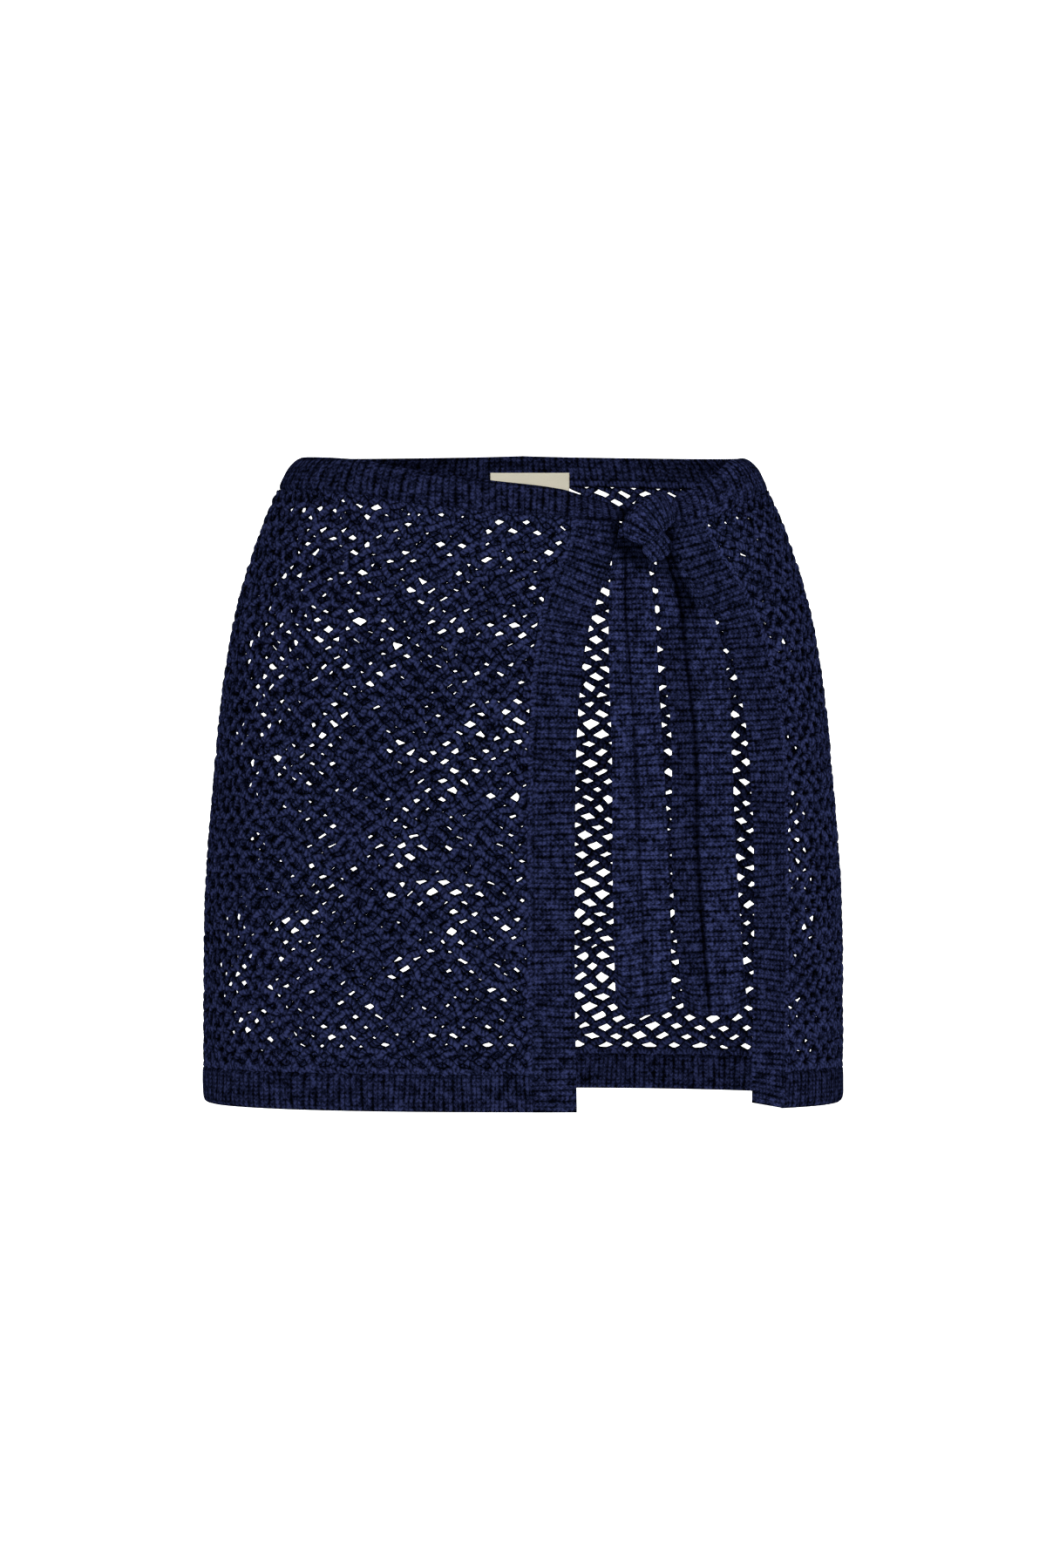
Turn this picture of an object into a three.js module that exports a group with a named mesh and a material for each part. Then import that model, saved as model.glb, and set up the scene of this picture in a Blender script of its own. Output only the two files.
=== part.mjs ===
import * as THREE from "three";

// Short wrap skirt of openwork knit in its worn shape, with no wearer. Millimetres, +Z up, the front
// towards -Y and +X on the right of someone who looks at the front. The origin is the middle of the
// waist ring, which holds the skirt up. "down" is the distance below that ring and "out" the distance
// outwards from the face of the cloth.

const SEAM_GAP = 0.3;
const SLANT_GAP = 0.6; // level gap at the front edges, which run at a slant under the waistband

// The worn form: half width and half depths of the outer face. The sections are rounded oblongs.
const ROUNDNESS = 2.3;
const FORM = [
  { down: -18, half_width: 129, front: 91, back: 97 },
  { down: 0, half_width: 139, front: 95, back: 102 },
  { down: 26, half_width: 151, front: 100, back: 109 },
  { down: 75, half_width: 167, front: 106, back: 118 },
  { down: 125, half_width: 176, front: 110, back: 123 },
  { down: 180, half_width: 181.5, front: 113, back: 125 },
  { down: 250, half_width: 186.5, front: 115, back: 125.5 },
  { down: 368, half_width: 187.2, front: 116, back: 125 },
];

// Cloth: how thick it is, and how far a rib stands out of the face and sinks into it.
const NET_THICKNESS = 3.6;
const RIB_CLOTH = { inside: 3.2, crest: 0.9, groove: -0.3 };
const RIB_PITCH = { waistband: 8.5, hem: 6.5, band: 6, tie: 6 };

// Waistband edges round the waist by angle from the middle of the front, towards the right.
const BACK_MIDDLE = 180;
const SIDE = 90;
const WAISTBAND = [
  { angle: -180, top: -17, bottom: -1 },
  { angle: -135, top: -14.5, bottom: 2 },
  { angle: -90, top: -10, bottom: 9.5 },
  { angle: -55, top: -5, bottom: 15 },
  { angle: -34, top: 3, bottom: 22.5 },
  { angle: -12, top: 8.5, bottom: 27 },
  { angle: 12, top: 14.5, bottom: 30.5 },
  { angle: 24, top: 18.8, bottom: 31.5 },
  { angle: 35, top: 23.5, bottom: 33 },
  { angle: 43, top: 21, bottom: 33 },
  { angle: 49, top: 16, bottom: 31.5 },
  { angle: 59, top: 5, bottom: 25.5 },
  { angle: 70, top: -5.5, bottom: 16.5 },
  { angle: 90, top: -9.5, bottom: 9.5 },
  { angle: 135, top: -14.5, bottom: 2 },
  { angle: 180, top: -17, bottom: -1 },
];
const KNOT_ANGLE = 39; // the waistband's two ends meet behind the knot

const HEM_DOWN = 368;
const HEM_HEIGHT = 21;

// Ribbed bands down the free front edges, edge by edge as seen from the front. A row is one rib's line.
const LEFT_BAND = [
  { left_x: 31.6, left_down: 31.5, right_x: 54.5, right_down: 33.3 },
  { left_x: 30.2, left_down: 41, right_x: 52, right_down: 47 },
  { left_x: 26.8, left_down: 50, right_x: 48.6, right_down: 58 },
  { left_x: 21.8, left_down: 62, right_x: 43.8, right_down: 71 },
  { left_x: 16, left_down: 78, right_x: 39, right_down: 85 },
  { left_x: 12, left_down: 95, right_x: 35.5, right_down: 99 },
  { left_x: 9, left_down: 121, right_x: 32, right_down: 123 },
  { left_x: 6.9, left_down: 157, right_x: 29.6, right_down: 157.5 },
  { left_x: 5.9, left_down: 207, right_x: 28.6, right_down: 207 },
  { left_x: 5.9, left_down: 305, right_x: 28.6, right_down: 305 },
  { left_x: 6.2, left_down: HEM_DOWN, right_x: 29.6, right_down: HEM_DOWN },
];
const RIGHT_BAND = [
  { left_x: 79, left_down: 33.3, right_x: 101, right_down: 27 },
  { left_x: 83.5, left_down: 45, right_x: 104.5, right_down: 38 },
  { left_x: 94, left_down: 60, right_x: 113, right_down: 52 },
  { left_x: 105.3, left_down: 76.5, right_x: 124, right_down: 68.5 },
  { left_x: 112.5, left_down: 87, right_x: 131.5, right_down: 82 },
  { left_x: 120, left_down: 106, right_x: 138.5, right_down: 102 },
  { left_x: 126.4, left_down: 132, right_x: 145.1, right_down: 130 },
  { left_x: 130.4, left_down: 159, right_x: 148.3, right_down: 158 },
  { left_x: 133, left_down: 200, right_x: 150, right_down: 200 },
  { left_x: 133.8, left_down: 240, right_x: 150.3, right_down: 240 },
  { left_x: 132.3, left_down: 364, right_x: 149.5, right_down: HEM_DOWN },
];

// Free ends of the tie, hanging from the knot in front of the slit. lift is the clearance under the
// end, crease_at its fold's place across the width and crease its depth.
const LEFT_TAIL = [
  { left_x: 53.4, left_down: 42, right_x: 66, right_down: 42, lift: 1, crease: 0, crease_at: 0.4 },
  { left_x: 51, left_down: 58, right_x: 70.5, right_down: 58, lift: 1, crease: 3, crease_at: 0.4 },
  { left_x: 48.6, left_down: 82, right_x: 74.4, right_down: 82, lift: 1, crease: 2.5, crease_at: 0.38 },
  { left_x: 48.5, left_down: 123, right_x: 76.6, right_down: 123, lift: 0.5, crease: 2, crease_at: 0.45 },
  { left_x: 50, left_down: 160, right_x: 79, right_down: 158, lift: 0, crease: 1.8, crease_at: 0.47 },
  { left_x: 50.4, left_down: 232, right_x: 82.5, right_down: 231, lift: 0, crease: 1.6, crease_at: 0.5 },
  { left_x: 52, left_down: 316, right_x: 84, right_down: 311, lift: 1, crease: 1.4, crease_at: 0.6 },
];
const RIGHT_TAIL = [
  { left_x: 74, left_down: 43, right_x: 81, right_down: 40, lift: 1, crease: 0, crease_at: 0.5 },
  { left_x: 75.6, left_down: 60, right_x: 91, right_down: 60, lift: 1, crease: 3, crease_at: 0.5 },
  { left_x: 76.8, left_down: 82, right_x: 106, right_down: 82, lift: 1, crease: 3, crease_at: 0.42 },
  { left_x: 80.8, left_down: 123, right_x: 115.8, right_down: 122, lift: 0.8, crease: 3, crease_at: 0.38 },
  { left_x: 84, left_down: 158, right_x: 117.8, right_down: 157, lift: 0.3, crease: 2.8, crease_at: 0.4 },
  { left_x: 84.2, left_down: 231, right_x: 120.9, right_down: 231, lift: 0, crease: 2.6, crease_at: 0.41 },
  { left_x: 90.5, left_down: 314.5, right_x: 126.5, right_down: 313, lift: 0.5, crease: 2.4, crease_at: 0.42 },
];
const CREASE_WIDTH = 0.22; // of the end's own width
// How far a tie end's corners are drawn up, each over a part of its width.
const LEFT_CORNERS = { left: 13, left_part: 0.26, right: 2, right_part: 0.25 };
const RIGHT_CORNERS = { left: 6, left_part: 0.35, right: 5, right_part: 0.35 };
const CORNERS_FROM = 0.88; // of the end's length

// The knot: a fat turn of the right end over the left one, and a small loop that shows below it.
// out is the height of the fold's middle over the skirt's face.
const KNOT_TURN = [
  { x: 86, down: 23.5, out: 5, half_width: 7, half_thick: 3.6 },
  { x: 78.5, down: 25.5, out: 7.4, half_width: 9, half_thick: 5.8 },
  { x: 70.5, down: 29.5, out: 9.8, half_width: 11.2, half_thick: 7 },
  { x: 64, down: 36.5, out: 11.2, half_width: 10.6, half_thick: 6.2 },
  { x: 60.5, down: 45, out: 8.6, half_width: 8.2, half_thick: 4.4 },
];
const KNOT_LOOP = [
  { x: 79.5, down: 43, out: 8.6, half_width: 3.4, half_thick: 2.6 },
  { x: 74, down: 49, out: 10, half_width: 5, half_thick: 3.8 },
  { x: 67.5, down: 53.5, out: 9, half_width: 4.2, half_thick: 2.8 },
];
const FOLD_SIDES = 12;
const FOLD_SQUARENESS = 2.6;
const FOLD_RIB = 0.7;
const END_BLUNTNESS = 6; // how late a fold's end rounds off

// Sewn-in label on the inside of the back waistband, with nothing on it.
const LABEL = { left_x: 28.6, right_x: -20.1, top: -6.8, bottom: 9.2, thickness: 0.8, clearance: 0.4 };

const NAVY = {
  net: 0x1b2140,
  ribs: 0x1e2449,
  tie: 0x20264e,
  label: 0xd9d5c3,
};

const radians = THREE.MathUtils.degToRad;
const degrees = THREE.MathUtils.radToDeg;
const mix = THREE.MathUtils.lerp;

// One column of a table read against another, as smooth cubic pieces through the rows.
function read(rows, key, column, at) {
  const last = rows.length - 1;
  const place = THREE.MathUtils.clamp(at, rows[0][key], rows[last][key]);
  const next = Math.max(1, rows.findIndex((row) => place <= row[key]));
  const slope = (k) => {
    const before = rows[Math.max(k - 1, 0)];
    const after = rows[Math.min(k + 1, last)];
    return (after[column] - before[column]) / (after[key] - before[key]);
  };
  const a = rows[next - 1];
  const b = rows[next];
  const span = b[key] - a[key];
  const t = (place - a[key]) / span;
  const eased = t * t * (3 - 2 * t);
  const from_a = t * (1 - t) * (1 - t) * span * slope(next - 1);
  const from_b = t * t * (t - 1) * span * slope(next);
  return mix(a[column], b[column], eased) + from_a + from_b;
}

// Middle of a row: between its two edges, or the one point that it has.
function middleOf({ x, down, left_x = x, right_x = x, left_down = down, right_down = down }) {
  return new THREE.Vector2((left_x + right_x) / 2, (left_down + right_down) / 2);
}

// A row of a table at a fraction of the length along its rows' middles, every column read alike.
function rowAt(rows, fraction) {
  let gone = 0;
  const placed = rows.map((row, k) => {
    gone += middleOf(row).distanceTo(middleOf(rows[Math.max(k - 1, 0)]));
    return { ...row, gone };
  });
  const columns = Object.keys(rows[0]);
  const at = fraction * gone;
  return Object.fromEntries(columns.map((column) => [column, read(placed, "gone", column, at)]));
}

// The form's section at a height, and the depth of the half that a side of it has.
function sectionAt(down, at_front) {
  const half_width = read(FORM, "down", "half_width", down);
  const half_depth = read(FORM, "down", at_front ? "front" : "back", down);
  return { half_width, half_depth };
}

// Point on the form by angle and height, moved out along the section's own normal.
function formPoint(angle, down, out) {
  const across = Math.sin(radians(angle));
  const forward = Math.cos(radians(angle));
  const { half_width, half_depth } = sectionAt(down, forward > 0);
  const powers = Math.abs(across / half_width) ** ROUNDNESS + Math.abs(forward / half_depth) ** ROUNDNESS;
  const reach = powers ** (-1 / ROUNDNESS);
  const x = reach * across;
  const y = -reach * forward;
  const normal = new THREE.Vector3(
    (Math.sign(x) * Math.abs(x / half_width) ** (ROUNDNESS - 1)) / half_width,
    (Math.sign(y) * Math.abs(y / half_depth) ** (ROUNDNESS - 1)) / half_depth,
    0,
  ).normalize();
  return new THREE.Vector3(x, y, -down).addScaledVector(normal, out);
}

// Angle of the point that has this x on the form's front or back.
function angleOf(x, down, at_front = true) {
  const { half_width, half_depth } = sectionAt(down, at_front);
  const y = half_depth * (1 - Math.abs(x / half_width) ** ROUNDNESS) ** (1 / ROUNDNESS);
  return degrees(Math.atan2(x, at_front ? y : -y));
}

const wrap = (angle) => (angle > BACK_MIDDLE ? angle - 2 * BACK_MIDDLE : angle);
const waistbandTop = (angle) => read(WAISTBAND, "angle", "top", wrap(angle));
const waistbandBottom = (angle) => read(WAISTBAND, "angle", "bottom", wrap(angle));

// Free edge of a panel where a band joins it, as an angle at each height.
const bandEdge = (rows, side, gap) => (down) =>
  angleOf(read(rows, side + "_down", side + "_x", down) + gap, down);
// Side seam, half a gap off the side on the panel's own side of it.
const sideSeam = (angle, towards) => (down) =>
  angle + (towards * degrees(SEAM_GAP / 2)) / sectionAt(down, true).half_width;

// Panel between a left and a right edge (angle by height) and a top and a bottom one (height by angle).
// The four depend on each other, so a point is found in a few rounds.
function panel({ left, right, top, bottom }) {
  const ROUNDS = 8;
  return (u, v) => {
    let down = 0;
    let angle = 0;
    for (let round = 0; round < ROUNDS; round++) {
      angle = mix(left(down), right(down), u);
      down = mix(top(angle), bottom(angle), v);
    }
    return { angle, down };
  };
}

// Strip between two edges, a row of its table for each line across it. Each edge is read by its height,
// as bandEdge reads it, so that a panel follows the same line.
function strip(rows, clearance = 0) {
  return (u, v) => {
    const { left_down, right_down } = rowAt(rows, v);
    const left = bandEdge(rows, "left", clearance)(left_down);
    const right = bandEdge(rows, "right", -clearance)(right_down);
    return { angle: mix(left, right, u), down: mix(left_down, right_down, u) };
  };
}

// Closed wall between an outer face on a grid of columns and rows and a plainer inner one, which has only
// every few of those columns and rows. The rims join the two, a fan of faces at each inner point.
function wall({ columns, rows, every_column = 1, every_row = 1 }, outer, inner) {
  const grids = [
    { face: outer, columns, rows, across: 1, along: 1, first: 0 },
    {
      face: inner,
      columns: columns / every_column,
      rows: rows / every_row,
      across: every_column,
      along: every_row,
      first: (columns + 1) * (rows + 1),
    },
  ];
  const points = grids.flatMap((grid) =>
    Array.from({ length: (grid.columns + 1) * (grid.rows + 1) }, (_, k) =>
      grid.face((k % (grid.columns + 1)) * grid.across, Math.floor(k / (grid.columns + 1)) * grid.along),
    ),
  );
  const at = (grid, column, row) => grid.first + row * (grid.columns + 1) + column;
  const faces = [];
  const triangle = (facing, a, b, c) => (facing ? faces.push(a, b, c) : faces.push(a, c, b));
  grids.forEach((grid, is_inner) => {
    for (let row = 0; row < grid.rows; row++) {
      for (let column = 0; column < grid.columns; column++) {
        const corner = at(grid, column, row);
        const opposite = at(grid, column + 1, row + 1);
        triangle(!is_inner, corner, at(grid, column, row + 1), opposite);
        triangle(!is_inner, corner, opposite, at(grid, column + 1, row));
      }
    }
  });
  const [front, back] = grids;
  const rim = (facing, steps, every, outer_at, inner_at) => {
    for (let step = 0; step < steps; step++) {
      const hub = inner_at(step);
      for (let k = step * every; k < (step + 1) * every; k++) {
        triangle(facing, hub, outer_at(k), outer_at(k + 1));
      }
      triangle(facing, hub, outer_at((step + 1) * every), inner_at(step + 1));
    }
  };
  const top_and_bottom = [
    { facing: true, front_row: 0, back_row: 0 },
    { facing: false, front_row: rows, back_row: back.rows },
  ];
  for (const { facing, front_row, back_row } of top_and_bottom) {
    const outer_at = (k) => at(front, k, front_row);
    rim(facing, back.columns, every_column, outer_at, (k) => at(back, k, back_row));
  }
  const left_and_right = [
    { facing: false, front_column: 0, back_column: 0 },
    { facing: true, front_column: columns, back_column: back.columns },
  ];
  for (const { facing, front_column, back_column } of left_and_right) {
    const outer_at = (k) => at(front, front_column, k);
    rim(facing, back.rows, every_row, outer_at, (k) => at(back, back_column, k));
  }
  return geometry(points, faces);
}

function geometry(points, faces) {
  const made = new THREE.BufferGeometry().setFromPoints(points);
  made.setIndex(faces);
  made.computeVertexNormals();
  return made;
}

function mesh(name, shape, colour) {
  const cloth = new THREE.MeshStandardMaterial({ color: colour, roughness: 0.92, metalness: 0 });
  const made = new THREE.Mesh(shape, cloth);
  made.name = name;
  return made;
}

// Plain wall of net. Its rows crowd towards the top, where the front edges curve.
function netPanel(name, edges, columns, rows) {
  const CROWDING = 1.5;
  const chart = panel(edges);
  const face = (out) => (column, row) => {
    const { angle, down } = chart(column / columns, (row / rows) ** CROWDING);
    return formPoint(angle, down, out);
  };
  return mesh(name, wall({ columns, rows }, face(0), face(-NET_THICKNESS)), NAVY.net);
}

// How many ribs of a pitch fit along a chart, measured on the line through its middle: an even number.
function ribCount(chart, along_u, pitch) {
  const SAMPLES = 60;
  const middle = Array.from({ length: SAMPLES + 1 }, (_, k) => {
    const t = k / SAMPLES;
    const { angle, down } = along_u ? chart(t, 0.5) : chart(0.5, t);
    return formPoint(angle, down, 0);
  });
  const length = middle.slice(1).reduce((sum, p, k) => sum + p.distanceTo(middle[k]), 0);
  return 2 * Math.round(length / pitch / 2);
}

// A ribbed wall's plain inside has one column or row for each two ribs.
const INSIDE_EVERY = 4;
const ribHeight = (k) => (k % 2 ? RIB_CLOTH.crest : RIB_CLOTH.groove);

// Ribbed wall whose ribs stand upright, side by side: a waistband or hem band.
function uprightRibs(name, edges, pitch) {
  const ROWS = 2;
  const chart = panel(edges);
  const columns = 2 * ribCount(chart, true, pitch);
  const face = (out) => (column, row) => {
    const { angle, down } = chart(column / columns, row / ROWS);
    return formPoint(angle, down, out(column));
  };
  const grid = { columns, rows: ROWS, every_column: INSIDE_EVERY, every_row: ROWS };
  return mesh(name, wall(grid, face(ribHeight), face(() => -RIB_CLOTH.inside)), NAVY.ribs);
}

// Ribbed wall whose ribs lie across, one under the other: a front edge band.
function frontBand(name, rows_table) {
  const COLUMNS = 2;
  const chart = strip(rows_table, SEAM_GAP / 2);
  const rows = 2 * ribCount(chart, false, RIB_PITCH.band);
  const face = (out) => (column, row) => {
    const { angle, down } = chart(column / COLUMNS, row / rows);
    const below_waistband = Math.max(down, waistbandBottom(angle) + SEAM_GAP);
    return formPoint(angle, below_waistband, out(row));
  };
  const grid = { columns: COLUMNS, rows, every_row: INSIDE_EVERY };
  return mesh(name, wall(grid, face(ribHeight), face(() => -RIB_CLOTH.inside)), NAVY.ribs);
}

// Free end of the tie: ribs across it, and one soft fold down its length that both faces follow.
function tieEnd(name, rows_table, corners) {
  const COLUMNS = 4;
  const chart = strip(rows_table);
  const rows = 2 * ribCount(chart, false, RIB_PITCH.tie);
  const face = (out) => (column, row) => {
    const u = column / COLUMNS;
    const v = row / rows;
    const { angle, down } = chart(u, v);
    const { lift, crease, crease_at } = rowAt(rows_table, v);
    const trough = crease * Math.exp(-(((u - crease_at) / CREASE_WIDTH) ** 2));
    const corner = (rise, part, from_edge) => rise * Math.max(0, 1 - from_edge / part) ** 2;
    const left_drawn = corner(corners.left, corners.left_part, u);
    const right_drawn = corner(corners.right, corners.right_part, 1 - u);
    const drawn_up = left_drawn + right_drawn;
    const near_end = Math.max(0, (v - CORNERS_FROM) / (1 - CORNERS_FROM));
    return formPoint(angle, down - drawn_up * near_end, lift + RIB_CLOTH.inside - trough + out(row));
  };
  const grid = { columns: COLUMNS, rows, every_row: INSIDE_EVERY };
  return mesh(name, wall(grid, face(ribHeight), face(() => -RIB_CLOTH.inside)), NAVY.tie);
}

// Fat fold of cloth: a flat rounded section carried along a line over the form, with blunt closed ends
// and ribs across it.
function fold(name, rows_table, ribs) {
  const sections = 2 * ribs;
  const centre = (t) => {
    const row = rowAt(rows_table, t);
    return formPoint(angleOf(row.x, row.down), row.down, row.out);
  };
  const NUDGE = 0.01;
  const ring = (k) => {
    const t = k / sections;
    const row = rowAt(rows_table, t);
    const middle = centre(t);
    const along = centre(Math.min(t + NUDGE, 1)).sub(centre(Math.max(t - NUDGE, 0))).normalize();
    const outwards = formPoint(angleOf(row.x, row.down), row.down, row.out + 1).sub(middle);
    const across = new THREE.Vector3().crossVectors(along, outwards).normalize();
    const upright = new THREE.Vector3().crossVectors(across, along);
    const closing = (1 - Math.abs(2 * t - 1) ** END_BLUNTNESS) ** (1 / 2);
    const swell = k % 2 ? FOLD_RIB : 0;
    return Array.from({ length: FOLD_SIDES }, (_, side) => {
      const turn = (2 * Math.PI * side) / FOLD_SIDES;
      const round = (value) => Math.sign(value) * Math.abs(value) ** (2 / FOLD_SQUARENESS);
      return middle
        .clone()
        .addScaledVector(across, closing * (row.half_width + swell) * round(Math.cos(turn)))
        .addScaledVector(upright, closing * (row.half_thick + swell) * round(Math.sin(turn)));
    });
  };
  const rings = Array.from({ length: sections - 1 }, (_, k) => ring(k + 1));
  const points = [...rings.flat(), centre(0), centre(1)];
  const start = points.length - 2;
  const end = points.length - 1;
  const at = (k, side) => k * FOLD_SIDES + (side % FOLD_SIDES);
  const faces = [];
  for (let side = 0; side < FOLD_SIDES; side++) {
    faces.push(start, at(0, side), at(0, side + 1));
    faces.push(end, at(rings.length - 1, side + 1), at(rings.length - 1, side));
    for (let k = 0; k < rings.length - 1; k++) {
      faces.push(at(k, side), at(k + 1, side + 1), at(k, side + 1));
      faces.push(at(k, side), at(k + 1, side), at(k + 1, side + 1));
    }
  }
  return mesh(name, geometry(points, faces), NAVY.tie);
}

// Label: a thin sheet made from the waistband's inner face, moved in.
function label() {
  const COLUMNS = 8;
  const in_from = Math.max(RIB_CLOTH.inside, NET_THICKNESS) + LABEL.clearance;
  const chart = panel({
    left: (down) => angleOf(LABEL.left_x, down, false),
    right: (down) => 2 * BACK_MIDDLE + angleOf(LABEL.right_x, down, false),
    top: () => LABEL.top,
    bottom: () => LABEL.bottom,
  });
  const face = (out) => (column, row) => {
    const { angle, down } = chart(column / COLUMNS, row);
    return formPoint(angle, down, out);
  };
  const grid = { columns: COLUMNS, rows: 1 };
  return mesh("label", wall(grid, face(-in_from), face(-in_from - LABEL.thickness)), NAVY.label);
}

const half_gap = SEAM_GAP / 2;
const half_slant = SLANT_GAP / 2;
const hemTop = () => HEM_DOWN - HEM_HEIGHT;
const netTop = (angle) => waistbandBottom(angle) + SEAM_GAP;
const netBottom = () => hemTop() - SEAM_GAP;
const hemBottom = () => HEM_DOWN;

// Left and right edges that a panel, its waistband and its hem band share.
const span = {
  front_left: { left: sideSeam(-SIDE, 1), right: bandEdge(LEFT_BAND, "left", -half_slant) },
  back: { left: sideSeam(SIDE, 1), right: sideSeam(3 * SIDE, -1) },
  front_right: { left: bandEdge(RIGHT_BAND, "right", half_slant), right: sideSeam(SIDE, -1) },
};
const knot_gap = degrees(half_gap) / FORM[1].half_width;
const waist_span = {
  front_left: { left: span.front_left.left, right: () => KNOT_ANGLE - knot_gap },
  back: span.back,
  front_right: { left: () => KNOT_ANGLE + knot_gap, right: span.front_right.right },
};
const NET_GRID = {
  front_left: { columns: 18, rows: 20 },
  back: { columns: 28, rows: 9 },
  front_right: { columns: 6, rows: 20 },
};

const skirt = new THREE.Group();
for (const side of Object.keys(span)) {
  const { columns, rows } = NET_GRID[side];
  const waistband = { ...waist_span[side], top: waistbandTop, bottom: waistbandBottom };
  const hem = { ...span[side], top: hemTop, bottom: hemBottom };
  skirt.add(
    netPanel(`net_${side}`, { ...span[side], top: netTop, bottom: netBottom }, columns, rows),
    uprightRibs(`waistband_${side}`, waistband, RIB_PITCH.waistband),
    uprightRibs(`hem_${side}`, hem, RIB_PITCH.hem),
  );
}
skirt.add(
  frontBand("band_left", LEFT_BAND),
  frontBand("band_right", RIGHT_BAND),
  tieEnd("tie_left", LEFT_TAIL, LEFT_CORNERS),
  tieEnd("tie_right", RIGHT_TAIL, RIGHT_CORNERS),
  fold("knot_turn", KNOT_TURN, 8),
  fold("knot_loop", KNOT_LOOP, 4),
  label(),
);

export default skirt;
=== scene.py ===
import math

import bpy
import numpy as np
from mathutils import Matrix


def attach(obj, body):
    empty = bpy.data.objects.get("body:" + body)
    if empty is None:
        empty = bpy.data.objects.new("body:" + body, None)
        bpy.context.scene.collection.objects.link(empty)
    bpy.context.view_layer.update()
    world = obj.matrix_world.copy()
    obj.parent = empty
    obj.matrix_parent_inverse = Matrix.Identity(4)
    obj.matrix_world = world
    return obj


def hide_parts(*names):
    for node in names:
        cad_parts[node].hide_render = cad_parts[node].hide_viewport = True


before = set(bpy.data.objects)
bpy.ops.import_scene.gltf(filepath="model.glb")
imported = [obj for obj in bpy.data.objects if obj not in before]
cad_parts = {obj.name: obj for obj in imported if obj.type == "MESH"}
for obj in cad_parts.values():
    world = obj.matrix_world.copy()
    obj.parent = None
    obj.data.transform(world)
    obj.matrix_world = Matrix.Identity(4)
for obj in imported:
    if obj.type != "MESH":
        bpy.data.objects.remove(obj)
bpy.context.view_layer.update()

# Short wrap skirt of openwork knit, worn shape, front towards -Y. Tables are in millimetres, meshes in
# metres. "down" is the distance below the waist ring's middle and "out" the distance out of the cloth's
# face, both as in the CAD solids that the pieces stand for.
MM = 0.001


def table(columns, *rows):
    """Named columns made from rows of numbers."""
    return dict(zip(columns.split(), np.array(rows, float).T))


# Camera, level with the middle of the skirt's length, as the photograph's frame of 1200 by 1799 pixels
# sees it at 1.95 pixels a millimetre.
FRAME_WIDTH, FRAME_HEIGHT = 1200, 1799
PIXELS_PER_MM = 1.95
CAMERA_AWAY = 3000
CAMERA_DOWN = 182
SENSOR = 36


def add_camera():
    """Camera in front of the middle of the skirt's length, its lens chosen for the scale in pixels."""
    data = bpy.data.cameras.new("camera")
    data.sensor_fit = "VERTICAL"
    data.sensor_height = SENSOR
    data.lens = SENSOR * CAMERA_AWAY * PIXELS_PER_MM / FRAME_HEIGHT
    data.clip_end = 30
    camera = bpy.data.objects.new("camera", data)
    camera.location = (0, -CAMERA_AWAY * MM, -CAMERA_DOWN * MM)
    camera.rotation_euler = (math.pi / 2, 0, 0)
    bpy.context.scene.collection.objects.link(camera)
    bpy.context.scene.camera = camera


# The worn form and its edges.
ROUNDNESS = 2.3
FORM = table(
    "down half_width front back",
    (-18, 129, 91, 97),
    (0, 139, 95, 102),
    (26, 151, 100, 109),
    (75, 167, 106, 118),
    (125, 176, 110, 123),
    (180, 181.5, 113, 125),
    (250, 186.5, 115, 125.5),
    (368, 187.2, 116, 125),
)
WAISTBAND = table(
    "angle top bottom",
    (-180, -17, -1),
    (-135, -14.5, 2),
    (-90, -10, 9.5),
    (-55, -5, 15),
    (-34, 3, 22.5),
    (-12, 8.5, 27),
    (12, 13.6, 30.5),
    (24, 19.8, 31.5),
    (35, 24.9, 33),
    (43, 21, 33),
    (49, 16, 31.5),
    (59, 5, 25.5),
    (70, -5.5, 16.5),
    (90, -9.5, 9.5),
    (135, -14.5, 2),
    (180, -17, -1),
)
KNOT_ANGLE = 39
SIDE = 90
HEM_DOWN = 368
HEM_HEIGHT = 21
LEFT_BAND = table(
    "left_x left_down right_x right_down",
    (31.6, 31.5, 54.5, 33.3),
    (30.2, 41, 52, 47),
    (26.8, 50, 48.6, 58),
    (21.8, 62, 43.8, 71),
    (16, 78, 39, 85),
    (12, 95, 35.5, 99),
    (9, 121, 32, 123),
    (6.9, 157, 29.6, 157.5),
    (5.9, 207, 28.6, 207),
    (5.9, 305, 28.6, 305),
    (6.2, HEM_DOWN, 29.6, HEM_DOWN),
)
RIGHT_BAND = table(
    "left_x left_down right_x right_down",
    (79, 33.3, 101, 27),
    (83.5, 45, 104.5, 38),
    (94, 60, 113, 52),
    (105.3, 76.5, 124, 68.5),
    (112.5, 87, 131.5, 82),
    (120, 106, 138.5, 102),
    (126.4, 132, 145.1, 130),
    (130.4, 159, 148.3, 158),
    (133, 200, 150, 200),
    (133.8, 240, 150.3, 240),
    (132.3, 364, 149.5, HEM_DOWN),
)
TAIL_COLUMNS = "left_x left_down right_x right_down lift crease crease_at"
LEFT_TAIL = table(
    TAIL_COLUMNS,
    (52.2, 42, 66, 42, 1, 0, 0.4),
    (49.8, 58, 70.5, 58, 1, 3, 0.4),
    (48.2, 82, 74.4, 82, 1, 2.5, 0.38),
    (48.5, 123, 76.6, 123, 0.5, 2, 0.45),
    (50, 160, 79, 158, 0, 1.8, 0.47),
    (50.4, 232, 82.5, 231, 0, 1.6, 0.5),
    (52, 316, 84, 311, 1, 1.4, 0.6),
)
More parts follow.
